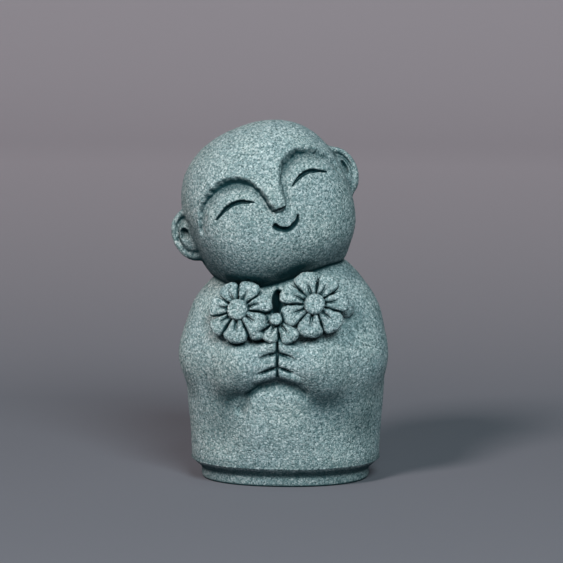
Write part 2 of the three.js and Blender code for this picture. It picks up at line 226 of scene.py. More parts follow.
def bar(p, start, end):
    """Distance to a bar whose radius runs evenly from one end to the other."""
    (a, radius_a), (b, radius_b) = start, end
    a, b = np.float32(a), np.float32(b)
    along = b - a
    t = np.clip((p - a) @ along / (along @ along), 0, 1)
    return np.linalg.norm(p - a - t[:, None] * along, axis=1) - lerp(radius_a, radius_b, t)


def ellipsoid(p, centre, size):
    q = (p - np.float32(centre)) / np.float32(size)
    near = np.linalg.norm(q, axis=1)
    far = np.linalg.norm(q / np.float32(size), axis=1)
    return near * (near - 1) / np.maximum(far, 1e-6)


def mirrored(place, side):
    (x, y, z), rest = place
    return (side * x, y, z), rest


# Robe, arms and plinth

def oval(p):
    """How far out a point is, as the half width of the oval through it, and how fast that grows."""
    power = ROBE["power"]
    x = np.abs(p[:, 0])
    y = np.abs(p[:, 1]) / ROBE["depth"]
    reach = np.maximum((x**power + y**power) ** (1 / power), 1e-3)
    growth = length((x / reach) ** (power - 1), (y / reach) ** (power - 1) / ROBE["depth"])
    return reach, growth


def robe(p):
    z = p[:, 2]
    reach, growth = oval(p - np.outer(smoothstep(z, 45, 70), np.float32((ROBE["lean"], 0, 0))))
    column = reach - lerp(ROBE["hem"], ROBE["shoulder"], smoothstep(z, HEM_HEIGHT, ROBE["shoulder_height"]))
    rise = ROBE["top"] - ROBE["shoulder_height"]
    above = np.maximum(z - ROBE["shoulder_height"], 0)
    near = length(reach / ROBE["shoulder"], above / rise)
    far = length(reach / ROBE["shoulder"] ** 2, above / rise**2)
    dome = near * (near - 1) / far
    side = np.where(above > 0, dome, column) / growth
    return smooth_max(side, HEM_HEIGHT - z, HEM_ROUND)


def plinth(p):
    """The foot, with the slanting underside of the hem above it."""
    reach, growth = oval(p)
    z = p[:, 2]
    foot = PLINTH["half_width"]
    slab = smooth_max((reach - foot) / growth, -z, PLINTH["edge"])
    share = (z - PLINTH["top"]) / (HEM_HEIGHT - PLINTH["top"])
    slant = (reach - lerp(foot, ROBE["hem"] - PLINTH["lip"], share)) / growth
    return np.maximum(smooth_min(slab, slant, 0.8), z - HEM_HEIGHT - 0.6)


def arm(p, side):
    joints = {name: mirrored(ARM[name], side) for name in ARM}
    upper = bar(p, joints["shoulder"], joints["elbow"])
    fore = bar(p, joints["elbow"], joints["wrist"])
    hand = bar(p, joints["wrist"], joints["hand"])
    cuff = ellipsoid(p, *joints["cuff"])
    sleeve = smooth_min(upper, fore, ARM_BLENDS["elbow"])
    return smooth_min(sleeve, smooth_min(hand, cuff, ARM_BLENDS["cuff"]), ARM_BLENDS["wrist"])


def deepest(p, valleys):
    return np.max([valley(p, **plan) for plan in valleys], axis=0)


def on_front(p):
    """How far a place counts as the front of the robe, between the hem and the hands."""
    near, far = FRONT["hands"]
    below_hands = smoothstep(-p[:, 2], -far, -near)
    return smoothstep(-p[:, 1], *FRONT["forward"]) * smoothstep(p[:, 2], *FRONT["above_hem"]) * below_hands


def belly(p):
    """How far the belly swells at places on the front."""
    z = p[:, 2]
    start = BELLY["half_width"]
    end = start + BELLY["edge"] + BELLY["spread"] * np.maximum(BELLY["top"] - z, 0)
    across = 1 - smoothstep(np.abs(p[:, 0] - BELLY["middle"]), start, end)
    upright = smoothstep(z, HEM_HEIGHT + 1, BELLY["full"])
    return BELLY["swell"] * across * upright * smoothstep(-p[:, 1], *FRONT["forward"])


def body(p):
    """The robe with the arms swelling out of it: softly at the sides, with a clear edge under the hands."""
    limbs = smooth_min(arm(p, -1), arm(p, 1), 0.5)
    right, left = smoothstep(p[:, 0], *SOFT_FROM[1]), smoothstep(-p[:, 0], *SOFT_FROM[-1])
    outward = np.where(p[:, 0] > 0, right, left)
    gown = robe(p)
    front = (p[:, 1] < -FRONT["forward"][0]) & (p[:, 2] > HEM_HEIGHT) & (p[:, 2] < FRONT["hands"][1])
    front &= gown < 8
    q = p[front]
    gown[front] += np.maximum(deepest(q, CREASES), deepest(q, HOLLOWS)) * on_front(q) - belly(q)
    return smooth_min(gown, limbs, lerp(ARM_BLENDS["front"], ARM_BLENDS["side"], outward))


def hand(p, side):
    """A palm with three fingers along it, cut off flat where it meets the other hand."""
    grip = ellipsoid(p, *mirrored((PALM["centre"], PALM["size"]), side))
    fingers = np.full(len(p), np.inf, dtype=np.float32)
    far = FINGERS["length"]
    for height, radius, fall in FINGERS["tips"]:
        tip = (0.0, FINGERS["y"], height)
        knuckle = (side * far, FINGERS["y"] + FINGERS["back"] * far, height - fall * far)
        fingers = np.minimum(fingers, bar(p, (tip, radius), (knuckle, radius)))
    whole = smooth_min(grip, fingers, FINGERS["blend"])
    return smooth_max(whole, FINGERS["seam"] - side * p[:, 0], FINGERS["blend"])


def front_line(p, start, end, half_width, depth):
    """How deep a line drawn on the front is cut at a point."""
    a, b = np.float32(start), np.float32(end)
    along = b - a
    flat = p[:, [0, 2]]
    t = (flat - a) @ along / (along @ along)
    inside = np.clip(t, 0, 1)
    away = np.linalg.norm(flat - a - inside[:, None] * along, axis=1)
    taper = np.sqrt(np.clip(4 * inside * (1 - inside), 0.1, 1))
    return depth * taper * np.exp(-((away / (half_width * taper)) ** 2))


def valley(p, line, half_width, tail, depth):
    """How deep a soft valley along a line drawn on the front is at a point."""
    flat = p[:, [0, 2]]
    nearest = np.full(len(p), np.inf, dtype=np.float32)
    for start, end in zip(line, line[1:]):
        a, b = np.float32(start), np.float32(end)
        along = b - a
        t = np.clip((flat - a) @ along / (along @ along), 0, 1)
        offset = flat - a - t[:, None] * along
        below = np.where(offset[:, 1] < 0, tail, half_width)
        nearest = np.minimum(nearest, length(offset[:, 0] / half_width, offset[:, 1] / below))
    return depth * np.exp(-(nearest**2))


def clothed(p):
    """Body with its hands, the lines cut into the fingers and the gap behind the flowers."""
    skin = body(p)
    front = (p[:, 1] < -CARVED["forward"]) & (np.abs(p[:, 0]) < CARVED["half_width"])
    front &= (p[:, 2] > CARVED["low"]) & (p[:, 2] < CARVED["high"])
    q = p[front]
    grip = np.minimum(hand(q, -1), hand(q, 1))
    touched = smooth_min(skin[front], grip, 1.0)
    for line in FRONT_LINES.values():
        touched += front_line(q, *line)
    skin[front] = smooth_max(touched, -ellipsoid(q, *CHEST_HOLE), 0.8)
    return skin


# Head

def turned(turns):
    matrix = Matrix.Identity(3)
    for axis, angle in turns:
        matrix = matrix @ Matrix.Rotation(math.radians(angle), 3, axis)
    return np.array(matrix, dtype=np.float32)


HEAD_AXES = turned(HEAD_TURNS)


def head_reach(ray):
    power = lerp(HEAD["lower_power"], HEAD["upper_power"], smoothstep(ray[:, 2], -0.3, 0.4))
    half_height = np.where(ray[:, 2] < 0, HEAD["chin"], HEAD["crown"])
    total = (
        np.abs(ray[:, 0] / HEAD["half_width"]) ** power
        + np.abs(ray[:, 1] / HEAD["half_depth"]) ** power
        + np.abs(ray[:, 2] / half_height) ** power
    )
    return total ** (-1 / power)


def face_rays(longitude, latitude):
    a, b = np.radians(longitude), np.radians(latitude)
    return np.stack([np.sin(a) * np.cos(b), -np.cos(a) * np.cos(b), np.sin(b)], axis=-1)


def curve(points, count):
    """A smooth line through points, as so many samples."""
    points = np.array(points, dtype=float)
    knots = np.arange(len(points))
    slopes = np.gradient(points, axis=0)
    t = np.linspace(0, len(points) - 1, count)
    i = np.minimum(t.astype(int), len(points) - 2)
    s = (t - knots[i])[:, None]
    a, b = points[i], points[i + 1]
    da, db = slopes[i], slopes[i + 1]
    return a + s * da + s**2 * (3 * (b - a) - 2 * da - db) + s**3 * (2 * (a - b) + da + db)


class FaceMap:
    """The face's relief in millimetres and its painted shade, each worked out once on a grid of directions.
    """

    STEP = 0.3
    WEST, EAST, SOUTH, NORTH = -84, 84, -45, 60

    def __init__(self):
        self.longitude = np.arange(self.WEST, self.EAST, self.STEP)
        self.latitude = np.arange(self.SOUTH, self.NORTH, self.STEP)
        lon, lat = np.meshgrid(self.longitude, self.latitude, indexing="ij")
        self.lon, self.lat = lon.ravel(), lat.ravel()
        self.points = face_rays(self.lon, self.lat) * HEAD["half_width"]
        self.shape = lon.shape
        chance = np.random.default_rng(4).standard_normal(self.shape)
        ragged = self.blurred(chance, RAGGED["reach"])
        self.ragged = (ragged / ragged.std()).ravel()
        sockets = {side: self.beside([(side * a, b) for a, b in BROW], RAGGED["brow"]) for side in (-1, 1)}
        relief = self.nose(sockets)
        # The face's painted shade: down the brow sockets' walls and in the cuts of the eyes and mouth
        shade = np.zeros(len(relief))
        for side, (across, past, share) in sockets.items():
            depth = self.socket(side * across, past, share)
            relief -= depth
            shade += SHADE_DARKNESS["sockets"] * (depth / max(BROW_DEPTHS)) ** SOCKET_FADE
        cuts = self.slit(MOUTH, *CUTS["mouth"])
        for side in (-1, 1):
            cuts += self.slit([(side * a, b) for a, b in EYE], *CUTS["eye"])
        relief -= cuts
        relief -= self.slit(NOSE_FOOT, *CUTS["nose"])
        eye_depth = CUTS["eye"][1]
        shade = np.clip(shade + SHADE_DARKNESS["cuts"] * cuts / eye_depth, 0, 1)
        self.relief = relief.reshape(self.shape).astype(np.float32)
        self.shade = shade.reshape(self.shape).astype(np.float32)

    def blurred(self, grid, reach):
        """A grid softened over a reach in millimetres."""
        cells = reach / math.radians(self.STEP) / HEAD["half_width"]
        rows, columns = (np.fft.fftfreq(n) for n in self.shape)
        waves = rows[:, None] ** 2 + columns[None, :] ** 2
        keep = np.exp(-2 * (math.pi * cells) ** 2 * waves)
        return np.fft.ifft2(np.fft.fft2(grid) * keep).real.astype(np.float32)

    def beside(self, line, ragged, samples=90):
        """How far each place is across a line and past its ends, and its share of the way along."""
        spots = curve(line, samples)
        places = face_rays(spots[:, 0], spots[:, 1]) * HEAD["half_width"]
        nearest = np.full(len(self.points), np.inf)
        across = np.zeros(len(self.points))
        past = np.zeros(len(self.points))
        share = np.zeros(len(self.points))
        along = np.gradient(places, axis=0)
        along /= np.linalg.norm(along, axis=1)[:, None]
        for i, place in enumerate(places):
            offset = self.points - place
            away = np.einsum("ij,ij->i", offset, offset)
            closer = away < nearest
            nearest[closer] = away[closer]
            left = np.cross(place / np.linalg.norm(place), along[i])
            across[closer] = offset[closer] @ left
            past[closer] = np.abs(offset[closer] @ along[i])
            share[closer] = i / (samples - 1)
        return across + ragged * self.ragged, past, share

    def socket(self, across, past, share):
        """A valley along the brow: a steep wall from the forehead and a long slope up to the eyelid."""
        width = np.interp(share, BROW_STOPS, BROW_WIDTHS)
        depth = np.interp(share, BROW_STOPS, BROW_DEPTHS)
        slope = np.interp(share, BROW_STOPS, LID_SLOPES)
        wall = 0.7 * np.clip(across / width, 0, 1) + 0.3 * smoothstep(across, 0, width)
        lid = 1 - smoothstep(across, width, width + slope)
        return depth * wall * lid * (1 - smoothstep(past, 0.2, 3.5))

    def slit(self, line, half_width, depth, ends):
        """A cut along a line that narrows at its ends to shares of its width."""
        across, past, share = self.beside(line, RAGGED["cut"])
        width = half_width * np.interp(share, [0, 0.3, 0.7, 1], [ends[0], 1, 1, ends[1]])
        section = 1 - smoothstep(np.abs(across), 0.4 * width, 1.1 * width)
        return depth * np.sqrt(width / half_width) * section * (1 - smoothstep(past, 0.1, 0.7))

    def nose(self, sockets):
        """A ridge between the brows that rises towards a blunt tip."""
        between = 1 - smoothstep(np.abs(self.lon), 12, 18)
        for side, (across, _, _) in sockets.items():
            between *= 1 - smoothstep(side * across, -1.0, 1.3)
        rise = NOSE["rise"] * smoothstep(-self.lat, -NOSE["bridge"], -NOSE["tip"] - 2)
        return rise * between * smoothstep(self.lat, NOSE["tip"] - 1.0, NOSE["tip"] + 0.4)

    def read(self, grid, ray):
        """A grid's value towards each ray, read between its places."""
        lon = np.degrees(np.arctan2(ray[:, 0], -ray[:, 1]))
        lat = np.degrees(np.arcsin(np.clip(ray[:, 2], -1, 1)))
        i = (lon - self.WEST) / self.STEP
        j = (lat - self.SOUTH) / self.STEP
        rows, columns = grid.shape
        inside = (i > 0) & (j > 0) & (i < rows - 1.01) & (j < columns - 1.01)
        i, j = np.clip(i, 0, rows - 1.01), np.clip(j, 0, columns - 1.01)
        a, b = i.astype(int), j.astype(int)
        s, t = (i - a).astype(np.float32), (j - b).astype(np.float32)
        low = lerp(grid[a, b], grid[a + 1, b], s)
        high = lerp(grid[a, b + 1], grid[a + 1, b + 1], s)
        return np.where(inside, lerp(low, high, t), 0)


FACE = FaceMap()


def ear_places(q, side):
    """Places in an ear's own directions (out, front, up), and how strong its groove is at each."""
    place = EARS[side]
    flare = math.radians(place["flare"])
    beside = q[:, 0] * side - place["root"]
    behind = q[:, 1] - place["back"]
    out = beside * math.cos(flare) + behind * math.sin(flare)
    front = beside * math.sin(flare) - behind * math.cos(flare)
    up = q[:, 2]
    middle = length(out / EAR["width"], up / EAR["height"])
    highness = smoothstep(up / np.maximum(length(out, up), 1e-3), -0.7, 0.4)
    section = np.exp(-(((middle - EAR["groove_at"]) / EAR["groove_width"]) ** 2))
    return np.stack([out, front, up], axis=1), section * lerp(0.3, 1, highness) * (front > 0)


def ear(q, side):
    """A thick dish in the head's own axes, with a groove inside its rim and a pit."""
    local, groove = ear_places(q, side)
    dish = ellipsoid(local, (0, 0, 0), (EAR["width"], EAR["thickness"], EAR["height"]))
    pit = ellipsoid(local, EARS[side]["pit"], EARS[side]["pit_size"])
    return smooth_max(dish + EAR["groove"] * groove, -pit, EAR["pit_edge"])


def on_head(p):
    """Places in the head's own axes, with each one's distance and direction from the head's centre."""
    q = (p - np.float32(HEAD["centre"])) @ HEAD_AXES
    away = np.maximum(np.linalg.norm(q, axis=1), 1e-3)
    return q, away, q / away[:, None]


def head(p):
    q, away, ray = on_head(p)
    skull = away - head_reach(ray)
    near = np.abs(skull) < 6
    skull[near] -= FACE.read(FACE.relief, ray[near])
    for side in (-1, 1):
        close = (q[:, 0] * side > 15) & (np.abs(q[:, 2]) < 14)
        skull[close] = smooth_min(skull[close], ear(q[close], side), EAR["blend"])
    return smooth_min(skull, ellipsoid(p, *JAW), 3.0)


# Flowers

def chest_at(x, z):
    """How far forward the clothed body reaches at a place on the chest."""
    y = np.linspace(-45, 0, 901, dtype=np.float32)
    line = np.stack([np.full_like(y, x), y, np.full_like(y, z)], axis=1)
    return y[body(line) <= 0].min()


def before_chest(at, proud):
    return np.float32([at[0], chest_at(*at) - proud, at[1]])


def flower_axes(faces):
    facing = np.float32(faces) / np.linalg.norm(faces)
    right = np.float32([-facing[1], facing[0], 0])
    right /= np.linalg.norm(right)
    return np.stack([right, np.cross(facing, right), facing], axis=1)


def petal(q, gap, next_gap, reach, boss):
    """A puffy wedge between two gaps, with a round tip and a groove along the middle of its inner part."""
    half, turn = math.radians((gap - next_gap) / 2), math.radians((gap + next_gap) / 2)
    u = q[:, 0] * math.cos(turn) + q[:, 1] * math.sin(turn)
    v = q[:, 1] * math.cos(turn) - q[:, 0] * math.sin(turn)
    wedge = np.abs(v) * math.cos(half) - u * math.sin(half) + PETAL["gap"]
    tip = length(u - PETAL["tip"] * reach, v) - (1 - PETAL["tip"]) * reach
    outline = smooth_max(wedge, tip, PETAL["round"])
    edge, thickness = PETAL["edge"], PETAL["half_thickness"]
    height = (q[:, 2] + PETAL["droop"] * u) * edge / thickness
    pillow = (length(np.maximum(outline + edge, 0), height) - edge) * thickness / edge
    along = np.clip((u - boss) / (0.72 * reach - boss), 0, 1)
    crease = PETAL["groove"] * (1 - along**2) * np.exp(-((v / lerp(0.6, 0.35, along)) ** 2))
    return pillow + crease * (q[:, 2] > -1) * (u > 0)


def flower(p, middle, axes, plan):
    q = (p - middle) @ axes
    boss = plan["boss"]
    edge = 0.35 * boss
    beyond = length(q[:, 0], q[:, 1]) - boss + edge
    disc = length(np.maximum(beyond, 0), np.maximum(np.abs(q[:, 2]) - 2.1 + edge, 0)) - edge
    bloom = np.full(len(p), np.inf, dtype=np.float32)
    gaps = plan["gaps"]
    for gap, next_gap, reach in zip(gaps, gaps[1:] + [gaps[0] - 360], plan["reaches"]):
        if reach:
            bloom = np.minimum(bloom, petal(q, gap, next_gap, reach, boss))
    radius = STALK["radius"] * plan["reaches"][0] / 11
    stalk = ellipsoid(q, (0, 0, STALK["back"]), (radius, radius, STALK["thickness"]))
    return smooth_min(smooth_min(bloom, stalk, 0.8), disc, 0.3)


CHEST_HOLE = ((CHEST_GAP["at"][0], chest_at(*CHEST_GAP["at"]), CHEST_GAP["at"][1]), CHEST_GAP["size"])
BLOOMS = [(before_chest(plan["at"], plan["proud"]), flower_axes(plan["faces"]), plan) for plan in FLOWERS]
LEAF_PLACES = [(before_chest(at, proud), size) for at, proud, size in LEAVES]


def posy(p):
    """The three flowers and their leaves."""
    stone = np.full(len(p), np.float32(9))
    for middle, axes, plan in BLOOMS:
        near = np.linalg.norm(p - middle, axis=1) < 18
        stone[near] = np.minimum(stone[near], flower(p[near], middle, axes, plan))
    for middle, size in LEAF_PLACES:
        near = np.linalg.norm(p - middle, axis=1) < 8
        stone[near] = smooth_min(stone[near], ellipsoid(p[near], middle, size), 0.6)
    return smooth_max(stone, -ellipsoid(p, *CHEST_HOLE), 0.5)


def torso(p):
    return smooth_min(clothed(p), plinth(p), 0.3)


def figure(p):
    """The whole figure's field: negative inside the stone."""
    return np.minimum(np.minimum(torso(p), head(p)), posy(p))


def lapped(field, other):
    """A part that ends a little way inside the part it grows out of."""
    return lambda p: np.maximum(field(p), -(other(p) + LAP))


# Mesh

def grid_places(low, step, index):
    return (low + step * index).astype(np.float32)


def sampled(field, low, step, cells):
    """The field on a fine grid, worked out only near its surface and marked by sign elsewhere."""
    coarse = step * SEARCH_STEPS
    index = np.stack(np.meshgrid(*(np.arange(n) for n in cells), indexing="ij"), axis=-1).reshape(-1, 3)
    middles = grid_places(low + coarse / 2 - step / 2, coarse, index)
    rough = field(middles)
    close = np.abs(rough) < 1.15 * coarse + 0.3
    values = np.where(rough > 0, np.float32(9), np.float32(-9)).reshape(cells)
    for axis in range(3):
        values = np.repeat(values, SEARCH_STEPS, axis=axis)
    offsets = np.stack(np.meshgrid(*[np.arange(SEARCH_STEPS)] * 3, indexing="ij"), axis=-1).reshape(-1, 3)
    for block in np.array_split(index[close], 12):
        fine = (block[:, None] * SEARCH_STEPS + offsets).reshape(-1, 3)
        values[fine[:, 0], fine[:, 1], fine[:, 2]] = field(grid_places(low, step, fine))
    return values


CORNERS = np.array([(i, j, k) for i in (0, 1) for j in (0, 1) for k in (0, 1)])
EDGES = [(a, b) for a in range(8) for b in range(a + 1, 8) if np.abs(CORNERS[a] - CORNERS[b]).sum() == 1]


def surface_net(values, low, step):
    """One vertex in each cell that the surface crosses, and a quad across each grid edge that it crosses."""
    inside = values < 0
    shape = np.array(values.shape) - 1
    count = np.zeros(shape, dtype=np.int8)
    for i, j, k in CORNERS:
        count += inside[i : i + shape[0], j : j + shape[1], k : k + shape[2]]
    cells = np.argwhere((count > 0) & (count < 8))
    number = np.full(shape, -1, dtype=np.int32)
    number[tuple(cells.T)] = np.arange(len(cells))
    corner_values = np.stack([values[tuple((cells + corner).T)] for corner in CORNERS], axis=1)
    total = np.zeros((len(cells), 3))
    crossings = np.zeros(len(cells))
    for a, b in EDGES:
        va, vb = corner_values[:, a], corner_values[:, b]
        crossed = (va < 0) != (vb < 0)
        share = (va[crossed] / (va[crossed] - vb[crossed]))[:, None]
        total[crossed] += CORNERS[a] + share * (CORNERS[b] - CORNERS[a])
        crossings[crossed] += 1
    vertices = low + step * (cells + total / crossings[:, None])
    quads = []
    for axis in range(3):
        ahead = np.eye(3, dtype=int)[axis]
        u, v = np.eye(3, dtype=int)[(axis + 1) % 3], np.eye(3, dtype=int)[(axis + 2) % 3]
        size = np.array(values.shape) - ahead
        first = inside[: size[0], : size[1], : size[2]]
        second = inside[ahead[0] :, ahead[1] :, ahead[2] :]
        starts = np.argwhere(first != second)
        starts = starts[((starts - u - v >= 0) | (ahead > 0)).all(axis=1)]
        ring = [starts - u - v, starts - v, starts, starts - u]
        quad = np.stack([number[tuple(cell.T)] for cell in ring], axis=1)
        leaving = first[tuple(starts.T)]
        quad[~leaving] = quad[~leaving, ::-1]
        quads.append(quad[(quad >= 0).all(axis=1)])
    return vertices, np.concatenate(quads)


def detail(vertices):
    """Where a mesh is thinned only a little: at the hands, the hem, the face and the ears."""
    on_hands = (vertices[:, 1] < -24) & (np.abs(vertices[:, 0]) < 14) & (np.abs(vertices[:, 2] - 42) < 12)
    on_hem = vertices[:, 2] < 7
    q, away, ray = on_head(vertices.astype(np.float32))
    on_face = (ray[:, 1] < -0.3) & (np.abs(ray[:, 2] - 0.05) < 0.55) & (away < 30)
    on_ear = (np.abs(q[:, 0]) > 24.5) & (np.abs(q[:, 2]) < 11) & (away < 36)
    return np.where(on_hands | on_hem | on_face | on_ear, FINE_THINNING, 1.0)


def painted_shade_at(places, normals):
    """How much shade is painted on the stone's recesses and undersides: 0 in the open, 1 where it is darkest.
    """
    # Painted shade where stone stands close in front of the surface, as in corners and grooves
    enclosed = np.zeros(len(places), dtype=np.float32)
    for reach in SHADE_REACHES:
        before = figure(places + normals * np.float32(reach))
        enclosed += np.clip(1 - before / reach, 0, 1) / len(SHADE_REACHES)
    q, away, ray = on_head(places)
    on_skin = np.abs(away - head_reach(ray)) < 4
    # Painted shade on surfaces that face down: stronger on the head, most under the chin, weaker towards its
    # right
    chin = SHADE_DARKNESS["chin"] * lerp(1, CHIN_FADE["share"], smoothstep(places[:, 0], *CHIN_FADE["across"]))
    under = np.where(on_skin, chin, SHADE_DARKNESS["undersides"]) * smoothstep(-normals[:, 2], -0.1, 0.75)
    # Painted shade in the face's sockets and cuts and in the ears' grooves
    face = np.where(on_skin, FACE.read(FACE.shade, ray), 0)
    ears = np.zeros(len(places), dtype=np.float32)
    for side in (-1, 1):
        on_ear = (q[:, 0] * side > EARS[side]["root"]) & (away < 38)
        ears[on_ear] = EAR["painted_shade"] * ear_places(q[on_ear], side)[1]
    # Painted shadow in the hollows under the sleeves, the creases under the hands and the chest's gap
    hollows = deepest(places, [{**plan, "depth": SHADE_DARKNESS["hollows"]} for plan in HOLLOWS])
    creases = deepest(places, [{**plan, "depth": SHADE_DARKNESS["creases"]} for plan in CREASES])
    valleys = np.maximum(hollows, creases) * on_front(places)
    gap = SHADE_DARKNESS["gap"] * smoothstep(-ellipsoid(places, *CHEST_HOLE), -0.5, -0.1)
    # Painted shadow by the ground, strongest on the hem's underside
    ground = SHADE_DARKNESS["ground"] * smoothstep(-places[:, 2], -HEM_HEIGHT, -HEM_HEIGHT + 1)
    ground *= lerp(1, HEM_SHADE, smoothstep(-normals[:, 2], 0, 0.6))
    return np.clip(enclosed + under + face + ears + valleys + gap + ground, 0, 1).astype(np.float32)


def modifier_applied(piece):
    """Swaps the piece's mesh for the one its modifiers give."""
    depsgraph = bpy.context.evaluated_depsgraph_get()
    mesh = bpy.data.meshes.new_from_object(piece.evaluated_get(depsgraph))
    piece.modifiers.clear()
    piece.data = mesh
    return mesh


def uneven(place, worn):
    """The cast stone's slow waviness, its wear and its grain, in millimetres."""
    slow = noise.noise(place * 0.11)
    middling = noise.noise(place * 0.45 + Vector((7, 3, 1)))
    grain = noise.noise(place * 1.25 + Vector((2, 9, 4)))
    return 0.14 * slow + worn * middling + (0.08 + 0.3 * worn) * grain


def make_part(name, field, low, high, step, worn=0.06):
    """One part of the figure as a mesh of its own, inside a box given in the field's millimetres."""
    low, high = np.array(low, dtype=float), np.array(high, dtype=float)
    cells = np.ceil((high - low) / (step * SEARCH_STEPS)).astype(int)
    vertices, quads = surface_net(sampled(field, low, step, cells), low, step)

    mesh = bpy.data.meshes.new(name)
    mesh.from_pydata(vertices * METRES, [], quads)
    piece = bpy.data.objects.new(name, mesh)
    bpy.context.scene.collection.objects.link(piece)
    if 2 * len(quads) > MOST_TRIANGLES:
        thin = piece.vertex_groups.new(name="thin")
        weights = detail(vertices)
        for weight in np.unique(weights):
            thin.add(np.nonzero(weights == weight)[0].tolist(), float(weight), "REPLACE")
        decimate = piece.modifiers.new("thin", "DECIMATE")
        decimate.ratio = MOST_TRIANGLES / (2 * len(quads))
        decimate.vertex_group = "thin"
        mesh = modifier_applied(piece)
        piece.vertex_groups.clear()

    count = len(mesh.vertices)
    places = np.empty(count * 3, dtype=np.float32)
    normals = np.empty(count * 3, dtype=np.float32)
    mesh.vertices.foreach_get("co", places)
    mesh.vertices.foreach_get("normal", normals)
    places = places.reshape(-1, 3) / np.float32(METRES)
    normals = normals.reshape(-1, 3)

    # The painted shade, kept on each vertex for the stone's colour
    attribute = mesh.attributes.new("painted_shade", "FLOAT", "POINT")
    attribute.data.foreach_set("value", painted_shade_at(places, normals))

    swell = np.array([uneven(Vector(place), worn) for place in places], dtype=np.float32)
    swell *= smoothstep(places[:, 2], 0.3, 1.5)
    places += normals * swell[:, None]
    places[:, 2] = np.maximum(places[:, 2], 0)
    mesh.vertices.foreach_set("co", (places * np.float32(METRES)).ravel())
    mesh.shade_smooth()
    mesh.update()
    return piece


def make_statue():
    """The figure in three parts, so that the head and the flowers can have finer meshes."""
    low, high = cad_low / METRES - 2, cad_high / METRES + 2
    low[2] = -5.5 * STEPS["body"]
    neck = (low[0], low[1], 62.0)
    shoulders = (high[0], high[1], ROBE["top"] + 2)
    middles = np.array([middle for middle, _, _ in BLOOMS])
    posy_low, posy_high = middles.min(axis=0) - 13, middles.max(axis=0) + 13
    return [
        make_part("statue_body", lapped(torso, head), low, shoulders, STEPS["body"]),
        make_part("statue_head", lapped(head, torso), neck, high, STEPS["head"]),
        make_part("statue_flowers", lapped(posy, torso), posy_low, posy_high, STEPS["flowers"], 0.3),
    ]


# Stone: the sizes of its grains and clouds in millimetres, its tones, and the tone and range of its painted
# shade

GRAIN_SIZES = dict(coarse=0.6, fine=0.37, dust=0.8, broad=16.0)
GRAIN_TONES = [
    (0.08, (0.02, 0.055, 0.06)),
    (0.32, (0.15, 0.235, 0.24)),
    (0.6, (0.3, 0.395, 0.4)),
    (0.94, (0.84, 0.9, 0.89)),
]
DUST_TONES = [(0.3, (0.3, 0.3, 0.3)), (0.7, (0.7, 0.7, 0.7))]
BROAD_TONES = [(0.3, (0.85, 0.9, 0.97)), (0.7, (1, 1, 1))]
SHADE_TONE = (0.006, 0.041, 0.049, 1)
SHADE_RANGE = (0.06, 0.88)


def stone_material():
    """Blue-green grey sandstone: grains of several tones, pits, and painted shade in its hollows and under
    it.
    """
    material = bpy.data.materials.new("sandstone")
    material.use_nodes = True
    nodes, links = material.node_tree.nodes, material.node_tree.links
    shader = nodes["Principled BSDF"]
    shader.inputs["Roughness"].default_value = 0.93
    shader.inputs["Specular IOR Level"].default_value = 0.25

    def add(kind, inputs=(), **settings):
        node = nodes.new(kind)
        for name, value in settings.items():
            setattr(node, name, value)
        for name, value in dict(inputs).items():
            if hasattr(value, "links"):
                links.new(value, node.inputs[name])
            else:
                node.inputs[name].default_value = value
        return node

    def ramp(source, stops):
        node = add("ShaderNodeValToRGB", {"Fac": source})
        elements = node.color_ramp.elements
        while len(elements) < len(stops):
            elements.new(0.5)
        for element, (position, colour) in zip(elements, stops):
            element.position = position
            element.color = (*colour, 1)
        return node.outputs["Color"]

    def mix(blend, factor, a, b):
        node = add("ShaderNodeMix", data_type="RGBA", blend_type=blend)
        for socket, value in ((node.inputs["Factor"], factor), (node.inputs[6], a), (node.inputs[7], b)):
            if hasattr(value, "links"):
                links.new(value, socket)
            else:
                socket.default_value = value
        return node.outputs[2]

    place = add("ShaderNodeTexCoord").outputs["Object"]
    per_mm = 1 / METRES

    def voronoi(size):
        return add("ShaderNodeTexVoronoi", {"Vector": place, "Scale": per_mm / size})

    def cloud(size, detail_levels):
        return add("ShaderNodeTexNoise", {"Vector": place, "Scale": per_mm / size, "Detail": detail_levels})

    coarse = voronoi(GRAIN_SIZES["coarse"])
    fine = voronoi(GRAIN_SIZES["fine"])
    dust = cloud(GRAIN_SIZES["dust"], 3.0)
    broad = cloud(GRAIN_SIZES["broad"], 2.0)

    coarse_tone = ramp(coarse.outputs["Color"], GRAIN_TONES)
    fine_tone = ramp(fine.outputs["Color"], GRAIN_TONES)
    tone = mix("MIX", 0.55, coarse_tone, fine_tone)
    tone = mix("OVERLAY", 0.55, tone, ramp(dust.outputs["Fac"], DUST_TONES))
    tone = mix("MULTIPLY", 0.6, tone, ramp(broad.outputs["Fac"], BROAD_TONES))
    # Paint shade into the stone's colour as far as the vertex attribute asks
    shade_amount = add("ShaderNodeAttribute", attribute_name="painted_shade").outputs["Fac"]
    spread = {"Value": shade_amount, "From Min": SHADE_RANGE[0], "From Max": SHADE_RANGE[1]}
    depth = add("ShaderNodeMapRange", spread).outputs["Result"]
    tone = mix("MIX", depth, tone, SHADE_TONE)
    links.new(tone, shader.inputs["Base Color"])

    distances = {0: coarse.outputs["Distance"], 1: fine.outputs["Distance"]}
    heights = add("ShaderNodeMath", distances, operation="ADD")
    rough = add("ShaderNodeMath", {0: heights.outputs[0], 1: dust.outputs["Fac"]}, operation="SUBTRACT")
    bump_inputs = {"Height": rough.outputs[0], "Strength": 0.6, "Distance": 0.25 * METRES}
    bump = add("ShaderNodeBump", bump_inputs)
    bump.invert = True
    links.new(bump.outputs["Normal"], shader.inputs["Normal"])
    return material


# Stage: angles in degrees, lengths in metres, and each light as its name, azimuth, elevation, distance,
# size, power and colour

